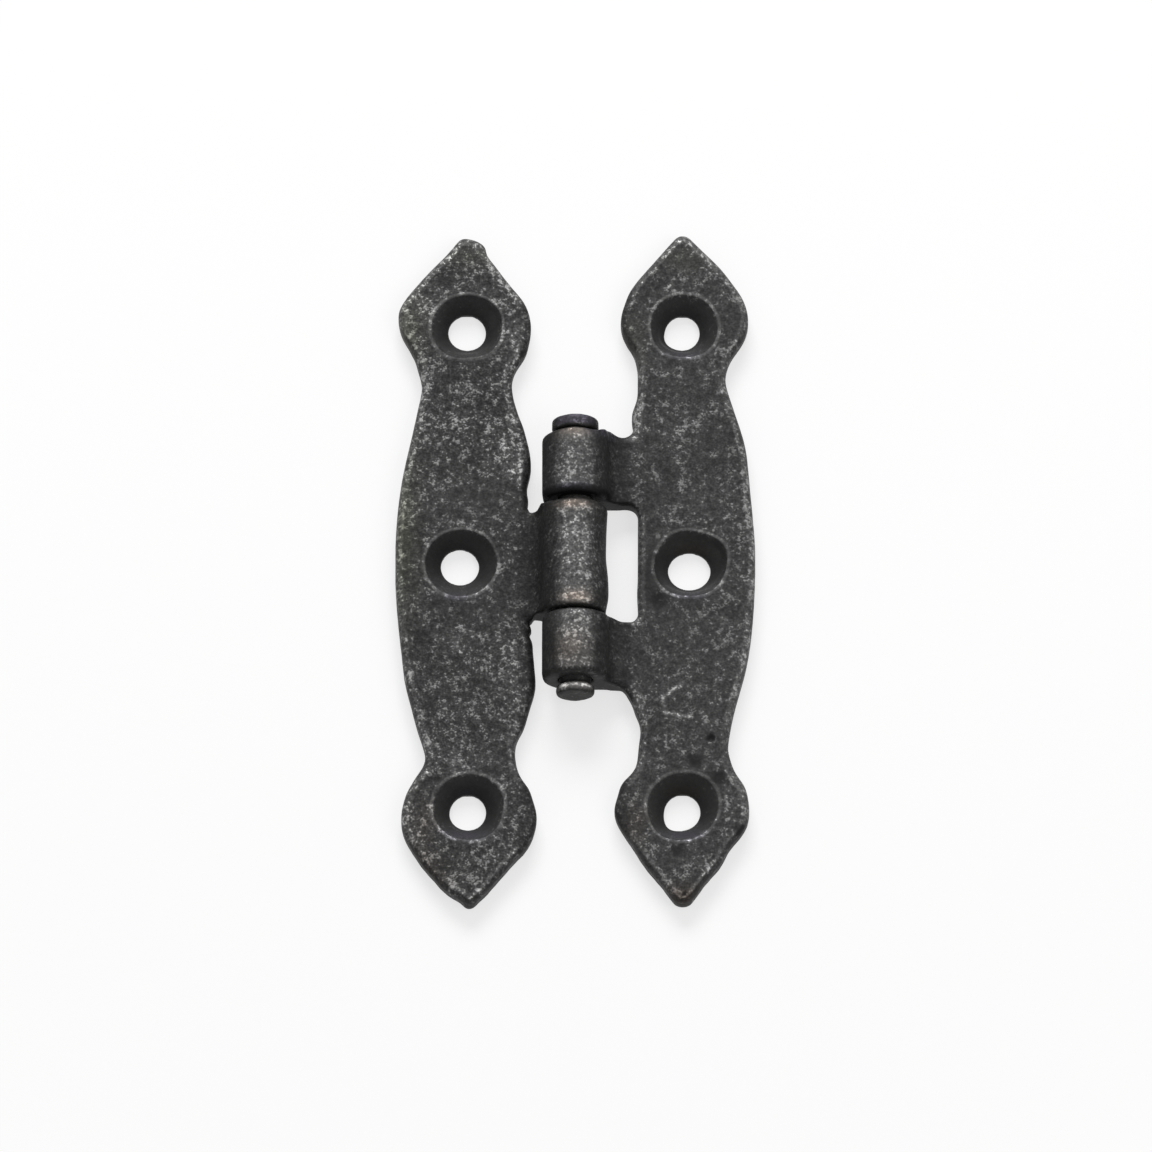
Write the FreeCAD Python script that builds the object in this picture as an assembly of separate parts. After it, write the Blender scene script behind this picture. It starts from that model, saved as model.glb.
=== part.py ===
"""Small cast iron H hinge with spear-ended leaves, lying open flat on its back.

Frame: +Z is out of the front face, the back of both leaves lies on Z = 0, the pin runs along Y
and X runs from the left leaf to the right leaf. The origin is on the back plane, under the pin,
at mid-height of the whole hinge. All sizes are in millimetres.
"""
import FreeCAD
import Part
import math
import os

Vector = FreeCAD.Vector

# Leaf outline
leaf_height = 82.5
leaf_thickness = 2.6
hole_line = 12.6
tip_radius = 1.2
lobe_half_width = 7.7
lobe_radius = 6.0
lobe_centre_height = 30.6
waist_radius = 5.0
belly_half_width = 8.4
belly_radius = 77.0
front_edge_round = 0.8

# Inner edge of the left leaf: one swell above and one below its knuckle
swell_half_width = 7.65
swell_radius = 14.0
swell_height = 13.0
notch_round = 0.6

# Inner edge of the right leaf: straight, with two necks that carry its knuckles
inner_edge_half_width = 5.3
neck_round_top = 2.0
neck_round_bottom = 2.4
window_round = 1.2

# Screw holes, for a countersunk wood screw with a shank of about 4 mm
hole_radius = 2.2
countersink_radius = 4.1
countersink_angle = 90.0
end_hole_height = 29.5
middle_hole_offset = 0.7

# Barrel: three knuckles on one pin
barrel_radius = 3.9
barrel_rise = 0.35
outer_knuckle_length = 7.75
middle_knuckle_length = 13.2
top_gap = 0.8
bottom_gap = 0.4
neck_fillet = 2.2
neck_overlap = 0.5
free_end_round = 0.5
gap_end_round = 0.15

# Hinge pin
pin_radius = 2.0
pin_fixed_clearance = 0.01
pin_running_clearance = 0.05
head_radius = 2.75
head_height = 2.2
head_edge_round = 0.8
tail_radius = 2.22
tail_height = 1.9
tail_edge_round = 0.5

# Places that follow from the sizes above
pin_height = barrel_radius
slot_length = middle_knuckle_length + top_gap + bottom_gap
slot_bottom = barrel_rise - slot_length / 2
slot_top = slot_bottom + slot_length
barrel_bottom = slot_bottom - outer_knuckle_length
barrel_top = slot_top + outer_knuckle_length
middle_bottom = slot_bottom + bottom_gap
middle_top = middle_bottom + middle_knuckle_length
left_leaf_slide = (bottom_gap - top_gap) / 2
tongue_end = hole_line - barrel_radius

# How near two places are when they count as the same one
same_place = 0.001


def on_circle(centre, radius, towards):
    """Point of a circle on the line from its centre towards another point."""
    return centre + (towards - centre).normalize() * radius


def arc(centre, start, end):
    """Edge of an arc of less than half a turn about a centre."""
    radius = (start - centre).Length
    middle = on_circle(centre, radius, start + (end - start) * 0.5)
    return Part.Arc(start, middle, end).toShape()


def chain(points_and_centres):
    """Edges through a list of points, each followed by its arc's centre or by None for a line."""
    edges = []
    count = len(points_and_centres)
    for index, (start, centre) in enumerate(points_and_centres):
        end = points_and_centres[(index + 1) % count][0]
        edges.append(Part.makeLine(start, end) if centre is None else arc(centre, start, end))
    return edges


def lobe_points(side, flip, waist_centre, below):
    """Points from the tip of a spear end down one side to the start of the edge below it.

    side is 1 for the outer edge and -1 for the inner one, flip is 1 at the top and -1 at the
    bottom, and below is the point of the edge where the waist's arc ends.
    """
    tip_centre = Vector(0, flip * (leaf_height / 2 - tip_radius), 0)
    lobe_centre = Vector(side * (lobe_half_width - lobe_radius), flip * lobe_centre_height, 0)
    across = lobe_centre - tip_centre
    lean = math.acos((tip_radius - lobe_radius) / across.Length)
    heading = math.atan2(across.y, across.x) + side * flip * lean
    normal = Vector(math.cos(heading), math.sin(heading), 0)
    return [
        (tip_centre + normal * tip_radius, None),
        (lobe_centre + normal * lobe_radius, lobe_centre),
        (on_circle(lobe_centre, lobe_radius, waist_centre), waist_centre),
        (below, None),
    ]


def tangent_centre(centre_a, distance_a, centre_b, distance_b, side):
    """Centre that lies at given distances from two others, on the given side of their line."""
    across = centre_b - centre_a
    length = across.Length
    along = (distance_a ** 2 - distance_b ** 2 + length ** 2) / (2 * length)
    height = math.sqrt(distance_a ** 2 - along ** 2)
    unit = across * (1 / length)
    return centre_a + unit * along + Vector(-unit.y, unit.x, 0) * (side * height)


def curved_edge(side, flip, edge_centre, edge_radius):
    """A spear end's side and waist, down to a curved edge below it."""
    lobe_centre = Vector(side * (lobe_half_width - lobe_radius), flip * lobe_centre_height, 0)
    waist_centre = tangent_centre(lobe_centre, lobe_radius + waist_radius,
                                  edge_centre, edge_radius + waist_radius, side * flip)
    below = on_circle(edge_centre, edge_radius, waist_centre)
    return lobe_points(side, flip, waist_centre, below)


def straight_edge(flip):
    """A spear end's inner side and waist, down to the straight inner edge of the right leaf."""
    reach = lobe_radius + waist_radius
    lobe_centre = Vector(lobe_radius - lobe_half_width, flip * lobe_centre_height, 0)
    waist_x = -inner_edge_half_width - waist_radius
    drop = math.sqrt(reach ** 2 - (waist_x - lobe_centre.x) ** 2)
    waist_centre = Vector(waist_x, flip * (lobe_centre_height - drop), 0)
    below = Vector(-inner_edge_half_width, waist_centre.y, 0)
    return lobe_points(-1, flip, waist_centre, below)


def outer_side(flip):
    """The outer side of a spear end, which ends on the leaf's long outer curve."""
    belly_centre = Vector(belly_half_width - belly_radius, 0, 0)
    return curved_edge(1, flip, belly_centre, belly_radius)


def swell_side(flip, tongue_height):
    """Inner side of the left leaf, from a tip to the end of the tongue that carries its knuckle."""
    swell_centre = Vector(swell_radius - swell_half_width, flip * swell_height, 0)
    points = curved_edge(-1, flip, swell_centre, swell_radius)
    notch_y = tongue_height + flip * notch_round
    reach = swell_radius + notch_round
    notch_x = swell_centre.x - math.sqrt(reach ** 2 - (notch_y - swell_centre.y) ** 2)
    notch_centre = Vector(notch_x, notch_y, 0)
    points[-1] = (points[-1][0], swell_centre)
    points.append((on_circle(swell_centre, swell_radius, notch_centre), notch_centre))
    points.append((Vector(notch_x, tongue_height, 0), None))
    points.append((Vector(-tongue_end, tongue_height, 0), None))
    return points


def neck_points(flip, outer_height, inner_height, outer_round):
    """Points round one neck of the right leaf, from the leaf's inner edge to the window."""
    edge = -inner_edge_half_width
    outer_y = outer_height + flip * outer_round
    inner_y = inner_height - flip * window_round
    outer_centre = Vector(edge - outer_round, outer_y, 0)
    inner_centre = Vector(edge - window_round, inner_y, 0)
    return [
        (Vector(edge, outer_y, 0), outer_centre),
        (Vector(edge - outer_round, outer_height, 0), None),
        (Vector(-tongue_end, outer_height, 0), None),
        (Vector(-tongue_end, inner_height, 0), None),
        (Vector(edge - window_round, inner_height, 0), inner_centre),
        (Vector(edge, inner_y, 0), None),
    ]


def run_back(points):
    """The same stretch of outline in the other direction."""
    places = [place for place, centre in points][::-1]
    centres = [centre for place, centre in points][:-1][::-1]
    return list(zip(places, centres + [None]))


def closed_outline(inner_side):
    """Edges of a leaf's outline: tip, outer side, lower tip, then the given inner side upwards."""
    top = outer_side(1)
    bottom = run_back(outer_side(-1))
    belly_centre = Vector(belly_half_width - belly_radius, 0, 0)
    top[-1] = (top[-1][0], belly_centre)
    bottom[-1] = (bottom[-1][0], Vector(0, tip_radius - leaf_height / 2, 0))
    inner_side[-1] = (inner_side[-1][0], Vector(0, leaf_height / 2 - tip_radius, 0))
    return chain(top + bottom + inner_side)


def plate(edges):
    """Plate of a leaf, with its front edges rounded and its screw holes countersunk."""
    face = Part.Face(Part.Wire(edges))
    body = face.extrude(Vector(0, 0, leaf_thickness))
    front_edges = []
    for edge in body.Edges:
        box = edge.BoundBox
        on_front = box.ZMin > leaf_thickness / 2
        on_tongue_end = box.XMax < same_place - tongue_end
        if on_front and not on_tongue_end:
            front_edges.append(edge)
    body = body.makeFillet(front_edge_round, front_edges)
    for place in ((0, end_hole_height), (middle_hole_offset, 0), (0, -end_hole_height)):
        body = body.cut(screw_hole(*place))
    return body


def screw_hole(outward, height):
    """Tool that cuts one screw hole and its countersink, a given way out from the hole line."""
    slope = math.tan(math.radians(countersink_angle / 2))
    depth = (countersink_radius - hole_radius) / slope
    place = Vector(outward, height, 0)
    through = Part.makeCylinder(hole_radius, leaf_thickness, place)
    sink = Part.makeCone(hole_radius, countersink_radius, depth,
                         place + Vector(0, 0, leaf_thickness - depth))
    return through.fuse(sink)


def neck_start():
    """Distance from the pin to where the neck's concave fillet meets the leaf's front face."""
    rise = leaf_thickness + neck_fillet - pin_height
    return math.sqrt((barrel_radius + neck_fillet) ** 2 - rise ** 2)


def knuckle(bottom, top, bore_radius, bottom_round, top_round):
    """A knuckle on its neck, for the right leaf, with the edges of its two ends rounded."""
    axis = Vector(0, bottom, pin_height)
    start = neck_start()
    fillet_centre = Vector(start, bottom, leaf_thickness + neck_fillet)
    foot = Vector(start, bottom, leaf_thickness)
    shoulder = on_circle(axis, barrel_radius, fillet_centre)
    crown = Vector(0, bottom, 2 * barrel_radius)
    far_side = Vector(-barrel_radius, bottom, pin_height)
    base = Vector(0, bottom, 0)
    root = start + neck_overlap
    edges = chain([
        (base, None),
        (Vector(root, bottom, 0), None),
        (Vector(root, bottom, leaf_thickness), None),
        (foot, fillet_centre),
        (shoulder, axis),
        (crown, axis),
        (far_side, axis),
    ])
    body = Part.Face(Part.Wire(edges)).extrude(Vector(0, top - bottom, 0))
    for height, radius in ((bottom, bottom_round), (top, top_round)):
        body = body.makeFillet(radius, end_edges(body, height, root))
    bore = Part.makeCylinder(bore_radius, top - bottom, axis, Vector(0, 1, 0))
    return body.cut(bore)


def end_edges(body, height, root):
    """Edges round one end of a knuckle, apart from the one at its root in the leaf."""
    chosen = []
    for edge in body.Edges:
        box = edge.BoundBox
        in_end = abs(box.YMin - height) < same_place and abs(box.YMax - height) < same_place
        at_root = box.XMin > root - same_place
        if in_end and not at_root:
            chosen.append(edge)
    return chosen


def make_right_leaf():
    """Right leaf: plate with a straight inner edge, and the top and bottom knuckles."""
    upper = neck_points(1, barrel_top, slot_top, neck_round_top)
    lower = run_back(neck_points(-1, barrel_bottom, slot_bottom, neck_round_bottom))
    inner = straight_edge(1) + upper + lower + run_back(straight_edge(-1))
    body = plate(closed_outline(run_back(inner)))
    body.translate(Vector(hole_line, 0, 0))
    bore_radius = pin_radius + pin_fixed_clearance
    body = body.fuse(knuckle(slot_top, barrel_top, bore_radius, gap_end_round, free_end_round))
    body = body.fuse(knuckle(barrel_bottom, slot_bottom, bore_radius, free_end_round, gap_end_round))
    return body.removeSplitter()


def make_left_leaf():
    """Left leaf: plate with two swells on its inner edge, and the middle knuckle."""
    bottom = middle_bottom - left_leaf_slide
    top = middle_top - left_leaf_slide
    inner = swell_side(1, top) + run_back(swell_side(-1, bottom))
    body = plate(closed_outline(run_back(inner)))
    body.translate(Vector(hole_line, 0, 0))
    bore_radius = pin_radius + pin_running_clearance
    body = body.fuse(knuckle(bottom, top, bore_radius, gap_end_round, gap_end_round))
    body = body.removeSplitter().mirror(Vector(0, 0, 0), Vector(1, 0, 0))
    body.translate(Vector(0, left_leaf_slide, 0))
    return body


def make_hinge_pin():
    """Pin: button head on the top knuckle, shank through the barrel, spread tail below it."""
    head = turned_end(head_radius, head_height, head_edge_round, barrel_top, 1)
    tail = turned_end(tail_radius, tail_height, tail_edge_round, barrel_bottom, -1)
    shank = Part.makeCylinder(pin_radius, barrel_top - barrel_bottom,
                              Vector(0, barrel_bottom, pin_height), Vector(0, 1, 0))
    return shank.fuse([head, tail]).removeSplitter()


def turned_end(radius, height, edge_round, seat, direction):
    """Round button on the pin's line that stands on a seat, with its outer edge rounded."""
    button = Part.makeCylinder(radius, height, Vector(0, seat, pin_height), Vector(0, direction, 0))
    outer_y = seat + direction * height
    rim = [edge for edge in button.Edges if abs(edge.CenterOfMass.y - outer_y) < same_place]
    return button.makeFillet(edge_round, rim)


os.makedirs("parts", exist_ok=True)
pieces = {
    "left_leaf": make_left_leaf(),
    "right_leaf": make_right_leaf(),
    "hinge_pin": make_hinge_pin(),
}
for name, shape in pieces.items():
    shape.translate(Vector(0, -left_leaf_slide / 2, 0))
    shape.exportStep("parts/" + name + ".step")
    print(name, "solids", len(shape.Solids), "valid", shape.isValid(),
          "volume", round(shape.Volume, 2), shape.optimalBoundingBox())
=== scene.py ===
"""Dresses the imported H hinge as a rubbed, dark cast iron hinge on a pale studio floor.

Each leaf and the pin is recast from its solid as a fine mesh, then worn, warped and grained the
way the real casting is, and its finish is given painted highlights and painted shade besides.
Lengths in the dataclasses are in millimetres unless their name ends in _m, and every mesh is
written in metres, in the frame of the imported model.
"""
import logging
import math
from dataclasses import dataclass
from enum import Enum

import bmesh
import bpy
import numpy as np
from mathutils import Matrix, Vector


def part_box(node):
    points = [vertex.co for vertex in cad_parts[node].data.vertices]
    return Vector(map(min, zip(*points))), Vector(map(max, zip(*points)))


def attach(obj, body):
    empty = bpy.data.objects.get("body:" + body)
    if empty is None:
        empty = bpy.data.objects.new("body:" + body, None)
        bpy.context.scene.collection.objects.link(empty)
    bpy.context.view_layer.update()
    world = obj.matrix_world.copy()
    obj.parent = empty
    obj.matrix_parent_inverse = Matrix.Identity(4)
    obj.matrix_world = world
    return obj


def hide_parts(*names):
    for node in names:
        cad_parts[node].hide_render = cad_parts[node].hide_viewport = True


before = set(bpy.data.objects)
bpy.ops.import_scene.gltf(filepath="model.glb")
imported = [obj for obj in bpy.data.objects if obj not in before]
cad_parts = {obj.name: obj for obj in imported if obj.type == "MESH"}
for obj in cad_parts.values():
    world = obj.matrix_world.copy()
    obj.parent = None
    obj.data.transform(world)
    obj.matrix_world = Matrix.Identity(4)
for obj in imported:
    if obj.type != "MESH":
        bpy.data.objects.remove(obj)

LOG = logging.getLogger("hinge")
MM = 0.001
WELD_M = 1e-6
PIN_HEIGHT = 3.9

Array = np.ndarray
Pair = tuple[float, float]
Triple = tuple[float, float, float]
Colour = tuple[float, float, float, float]


def grey(level: float) -> Colour:
    """Neutral colour of a linear brightness from 0 to 1."""
    return (level, level, level, 1.0)


def away_from(place: Pair, points: Array) -> Array:
    """Distance of each point from a place, seen from above."""
    return np.hypot(points[:, 0] - place[0], points[:, 1] - place[1])


def ramp_up(values: Array, low: float, high: float) -> Array:
    """Rise smoothly from 0 to 1 as values go from low to high."""
    share = np.clip((values - low) / (high - low), 0.0, 1.0)
    return share * share * (3 - 2 * share)


class Lattice:
    """Smooth seeded noise in space, the same on every run."""

    COUNT = 48

    def __init__(self, seed: int) -> None:
        """Fill a repeating lattice with seeded values between -1 and 1."""
        source = np.random.default_rng(seed)
        self.values = source.uniform(-1.0, 1.0, (self.COUNT, self.COUNT, self.COUNT))

    def at(self, points: Array, wavelength: float) -> Array:
        """Read the noise at many points.

        Args:
            points: Places in millimetres, one row each.
            wavelength: Distance between lattice values in millimetres.

        Returns:
            One value between -1 and 1 for each point.
        """
        places = points / wavelength
        base = np.floor(places).astype(int)
        share = places - base
        share = share * share * (3 - 2 * share)
        total = np.zeros(len(points))
        for corner in np.ndindex(2, 2, 2):
            weight = np.prod(np.where(corner, share, 1 - share), axis=1)
            index = (base + corner) % self.COUNT
            total += weight * self.values[index[:, 0], index[:, 1], index[:, 2]]
        return total


@dataclass(frozen=True)
class Nudge:
    """A smooth local push of the metal.

    Attributes:
        at: Place of the push, x and y.
        shift: How far the metal moves there, x and y.
        reach: Distance over which the push fades.
        above: Height above which metal moves, for a push on the front or on a knuckle.
        rise: How far the metal moves up there.
        onset: Height over which the push sets in.
    """

    at: Pair
    shift: Pair
    reach: float
    above: float | None = None
    rise: float = 0.0
    onset: float = 1.0

    def apply(self, points: Array) -> None:
        """Push the metal near the place.

        Args:
            points: Places in millimetres, which are changed in place.
        """
        weight = np.exp(-((away_from(self.at, points) / self.reach) ** 2))
        if self.above is not None:
            weight = weight * ramp_up(points[:, 2], self.above, self.above + self.onset)
        points += weight[:, None] * np.array((*self.shift, self.rise))


@dataclass(frozen=True)
class Ream:
    """A screw hole that came out wider than it should.

    Attributes:
        at: Centre of the hole, x and y.
        extra: How far its wall is moved out, x and y.
        start: Radius up to which metal moves fully.
        end: Radius from which it doesn't move.
    """

    at: Pair
    extra: Pair
    start: float = 2.6
    end: float = 4.2

    def apply(self, points: Array) -> None:
        """Widen the hole.

        Args:
            points: Places in millimetres, which are changed in place.
        """
        away = np.maximum(away_from(self.at, points), 0.1)
        weight = 1 - ramp_up(away, self.start, self.end)
        for axis in range(2):
            points[:, axis] += weight * self.extra[axis] * (points[:, axis] - self.at[axis]) / away


@dataclass(frozen=True)
class Patch:
    """A place where the finish is rubbed lighter, left darker or stained, or given painted light and
    shade.

    Attributes:
        at: Centre, x and y.
        reach: Distance over which it fades, along x and y.
        gain: Doublings of brightness at its centre, or the strength of a stain.
    """

    at: Pair
    reach: Pair
    gain: float

    def weigh(self, points: Array) -> Array:
        """Find how strong the patch is.

        Args:
            points: Places in millimetres.

        Returns:
            Gain at each point.
        """
        along = (points[:, 0] - self.at[0]) / self.reach[0]
        across = (points[:, 1] - self.at[1]) / self.reach[1]
        return self.gain * np.exp(-(along * along) - across * across)


@dataclass(frozen=True)
class Scratch:
    """A thin straight scuff on the front face.

    Attributes:
        start: Its first end, x and y.
        end: Its other end, x and y.
        gain: Doublings of brightness along it.
        width: Distance over which it fades sideways.
    """

    start: Pair
    end: Pair
    gain: float = 1.2
    width: float = 0.24

    def weigh(self, points: Array) -> Array:
        """Find how strong the scuff is.

        Args:
            points: Places in millimetres.

        Returns:
            Gain at each point.
        """
        along = np.subtract(self.end, self.start)
        offset = points[:, :2] - self.start
        share = np.clip(offset @ along / (along @ along), 0.0, 1.0)
        away = np.hypot(*(offset - share[:, None] * along).T)
        return self.gain * np.exp(-((away / self.width) ** 2))


@dataclass(frozen=True)
class Pit:
    """A dark hollow in the front face, left by the sand of the mould.

    Attributes:
        at: Centre, x and y.
        radius: Radius at which it fades out.
        depth: Depth at its centre.
        gain: Doublings of brightness at its centre, below nought.
        flat: Share of the radius that is fully deep.
    """

    at: Pair
    radius: float
    depth: float
    gain: float
    flat: float = 0.25

    def weigh(self, points: Array) -> Array:
        """Share from 0 outside the pit to 1 at its centre."""
        return 1.0 - ramp_up(away_from(self.at, points), self.flat * self.radius, self.radius)


def each(kind: type, *rows: tuple[float, ...]) -> tuple:
    """Make one nudge, ream, patch or scratch from each row of numbers.

    Args:
        kind: The class that is made.
        rows: For each, its first two pairs written flat and then its other values.

    Returns:
        What was made, in the order of the rows.
    """
    return tuple(kind(row[:2], row[2:4], *row[4:]) for row in rows)


@dataclass(frozen=True)
class Knuckle:
    """One knuckle's barrel, whose rims are worn round.

    Attributes:
        bottom: Lower end along the pin.
        top: Upper end along the pin.
        bottom_round: Depth of the wear at the lower rim.
        top_round: Depth of the wear at the upper rim.
        bottom_rim_shading: Doublings of brightness painted at the lower rim as light and shade; below
            nought it is painted shade on the rim that turns from the light.
        top_rim_shading: Doublings of brightness painted at the upper rim as light and shade.
        crest_rub_and_sheen: Doublings of brightness added along the crest, for rubbed metal and a
            painted highlight.
        axis_height: Height of the pin's line above the back of the hinge.
        bore: Radius inside which nothing is worn.
        wall: Distance from there over which the wear sets in.
        upper: Heights from the pin's line between which the wear sets in.
        reach: How far along the barrel the wear goes.
        fade: Distances from a rim between which its tone fades.
        crest: Shares of the barrel's half width between which its crest ends.
        margin: How far past its ends metal still counts as the knuckle's.
    """

    bottom: float
    top: float
    bottom_round: float = 0.3
    top_round: float = 0.3
    bottom_rim_shading: float = -1.2
    top_rim_shading: float = 0.0
    crest_rub_and_sheen: float = 0.0
    axis_height: float = PIN_HEIGHT
    bore: float = 2.3
    wall: float = 0.9
    upper: Pair = (-1.2, 0.2)
    reach: float = 0.9
    fade: Pair = (0.3, 1.1)
    crest: Pair = (0.2, 0.6)
    margin: float = 0.3

    def holds(self, points: Array) -> Array:
        """Whether each point is this knuckle's, by its place along the pin."""
        return (points[:, 1] > self.bottom - self.margin) & (points[:, 1] < self.top + self.margin)

    def tone(self, points: Array) -> Array:
        """Find how light the rims and the crest are: painted light and shade, and the crest's rubbing.

        Args:
            points: Places in millimetres.

        Returns:
            Doublings of brightness, nought off the knuckle.
        """
        across = np.abs(points[:, 0]) / self.axis_height
        # Painted highlight on the crest, with rubbed metal, and painted light and shade on the rims.
        gain = self.crest_rub_and_sheen * (1 - ramp_up(across, *self.crest))
        for end, share in ((self.bottom, self.bottom_rim_shading), (self.top, self.top_rim_shading)):
            gain = gain + share * (1 - ramp_up(np.abs(points[:, 1] - end), *self.fade))
        return gain * self.holds(points)

    def apply(self, points: Array) -> None:
        """Wear the rims round.

        Args:
            points: Places in millimetres, which are changed in place.
        """
        height = points[:, 2] - self.axis_height
        radius = np.hypot(points[:, 0], height)
        outer = ramp_up(radius, self.bore, self.bore + self.wall) * ramp_up(height, *self.upper)
        wear = np.zeros(len(points))
        for end, depth in ((self.bottom, self.bottom_round), (self.top, self.top_round)):
            near = 1 - np.clip(np.abs(points[:, 1] - end) / self.reach, 0.0, 1.0)
            wear = np.maximum(wear, depth * near**2)
        wear = wear * outer * self.holds(points)
        share = 1 - wear / np.maximum(radius, 0.1)
        points[:, 0] *= share
        points[:, 2] = self.axis_height + height * share


class Skin:
    """A closed mesh as arrays, with the moves that shape and wear it."""

    EASE = 0.5
    RESTORE = 0.52

    def __init__(self, mesh: bpy.types.Mesh) -> None:
        """Read the mesh's vertices and edges.

        Args:
            mesh: A mesh in metres, which write() puts back.
        """
        self.mesh = mesh
        count = len(mesh.vertices)
        self.points = np.empty(count * 3)
        mesh.vertices.foreach_get("co", self.points)
        self.points = self.points.reshape(count, 3) / MM
        self.edges = np.empty(len(mesh.edges) * 2, dtype=np.int64)
        mesh.edges.foreach_get("vertices", self.edges)
        self.edges = self.edges.reshape(-1, 2)
        self.degree = np.bincount(self.edges.ravel(), minlength=count)[:, None]

    def neighbour_mean(self, points: Array) -> Array:
        """Average the places of each point's neighbours.

        Args:
            points: One place for each vertex.

        Returns:
            Their means.
        """
        first, second = self.edges[:, 0], self.edges[:, 1]
        total = np.empty_like(points)
        for axis in range(points.shape[1]):
            total[:, axis] = (
                np.bincount(first, points[second, axis], len(points))
                + np.bincount(second, points[first, axis], len(points))
            )
        return total / self.degree

    def relaxed(self, points: Array, rounds: int) -> Array:
        """Smooth points plainly.

        Args:
            points: One place for each vertex, which stays as it is.
            rounds: How many times they are smoothed.

        Returns:
            The smoothed points.
        """
        for _ in range(rounds):
            points = points + self.EASE * (self.neighbour_mean(points) - points)
        return points

    def soften(self, rounds: int) -> None:
        """Round sharp edges without shrinking the broad shape.

        Args:
            rounds: How many times the mesh is smoothed and restored.
        """
        for _ in range(rounds):
            for share in (self.EASE, -self.RESTORE):
                self.points = self.points + share * (self.neighbour_mean(self.points) - self.points)

    def normals(self) -> Array:
        """Find the normals for the present points.

        Returns:
            Unit normal of each vertex.
        """
        self.write()
        found = np.empty(len(self.points) * 3)
        self.mesh.vertices.foreach_get("normal", found)
        return found.reshape(-1, 3)

    def bulge(self, normals: Array, rounds: int) -> Array:
        """How far each point stands proud of its smoothed surroundings, in millimetres."""
        return np.einsum("ij,ij->i", self.points - self.relaxed(self.points, rounds), normals)

    def blunt(self, where: Array, rounds: int, start: float) -> None:
        """Wear convex edges round.

        Args:
            where: Share of the wear that each point gets.
            rounds: Rounds of smoothing, which set how wide the rounding is.
            start: Bulge at which the wear begins, in millimetres.
        """
        normals = self.normals()
        bulge = self.bulge(normals, rounds)
        worn = where * bulge * ramp_up(bulge, start, 3 * start)
        self.points = self.points - normals * worn[:, None]

    def write(self) -> None:
        """Put the points back into the mesh, in metres."""
        self.mesh.vertices.foreach_set("co", (self.points * MM).ravel())
        self.mesh.update()

    def store(self, name: str, values: Array) -> None:
        """Keep one value for each vertex under a name that a finish can read."""
        layer = self.mesh.attributes.new(name, "FLOAT", "POINT")
        layer.data.foreach_set("value", values.astype(np.float32))


def recast(node: str, name: str, grain: float) -> bpy.types.Object:
    """Cast a solid anew as a fine, even mesh.

    Args:
        node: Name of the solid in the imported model.
        name: Name of the new piece.
        grain: Edge length of the new mesh in millimetres.

    Returns:
        The new object, linked to the scene.
    """
    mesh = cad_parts[node].data.copy()
    welded = bmesh.new()
    welded.from_mesh(mesh)
    bmesh.ops.remove_doubles(welded, verts=welded.verts, dist=WELD_M)
    welded.to_mesh(mesh)
    welded.free()
    rough = bpy.data.objects.new(name + "_rough", mesh)
    bpy.context.collection.objects.link(rough)
    remesh = rough.modifiers.new("cast", "REMESH")
    remesh.mode = "VOXEL"
    remesh.voxel_size = grain * MM
    evaluated = rough.evaluated_get(bpy.context.evaluated_depsgraph_get())
    fine = bpy.data.meshes.new_from_object(evaluated)
    bpy.data.objects.remove(rough)
    fine.name = name
    fine.materials.clear()
    fine.shade_smooth()
    piece = bpy.data.objects.new(name, fine)
    bpy.context.collection.objects.link(piece)
    return piece


class Tint(Enum):
    """The hues of the rubbed iron finish, which are multiplied by its brightness."""

    IRON = (1.0, 1.0, 0.99)
    RUST = (1.22, 0.95, 0.76)
    OLIVE = (1.00, 1.04, 0.80)
    BLUE = (1.02, 0.94, 1.25)

    def colour(self) -> Colour:
        """The hue as a colour."""
        return (*self.value, 1.0)


class Wire:
    """A shader socket that can be used in sums; each sum adds its own nodes."""

    def __init__(self, graph: "Graph", socket: bpy.types.NodeSocket) -> None:
        """Wrap one output socket of a graph."""
        self.graph = graph
        self.socket = socket

    def _sum(self, operation: str, first: "Wire | float", second: "Wire | float") -> "Wire":
        """Add one Math node.

        Args:
            operation: Name of the Math node's operation.
            first: Its first value.
            second: Its second value.

        Returns:
            The result.
        """
        return self.graph.node("ShaderNodeMath", {"operation": operation}, {0: first, 1: second})

    def __add__(self, other: "Wire | float") -> "Wire":
        """Sum."""
        return self._sum("ADD", self, other)

    __radd__ = __add__

    def __sub__(self, other: "Wire | float") -> "Wire":
        """Difference."""
        return self._sum("SUBTRACT", self, other)

    def __rsub__(self, other: float) -> "Wire":
        """Difference from a number."""
        return self._sum("SUBTRACT", other, self)

    def __mul__(self, other: "Wire | float") -> "Wire":
        """Product."""
        return self._sum("MULTIPLY", self, other)

    __rmul__ = __mul__

    def __rpow__(self, base: float) -> "Wire":
        """Power of a number."""
        return self._sum("POWER", base, self)

    def distance_to(self, other: float) -> "Wire":
        """Size of the difference from a number."""
        return self.graph.node("ShaderNodeMath", {"operation": "ABSOLUTE"}, {0: self - other})

    def larger(self, other: "Wire") -> "Wire":
        """The larger of two values."""
        return self._sum("MAXIMUM", self, other)

    def step(self, low: "Wire | float", high: "Wire | float") -> "Wire":
        """Rise smoothly from 0 at low to 1 at high."""
        values = {"Value": self, "From Min": low, "From Max": high}
        return self.graph.node("ShaderNodeMapRange", {"interpolation_type": "SMOOTHSTEP"}, values)


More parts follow.
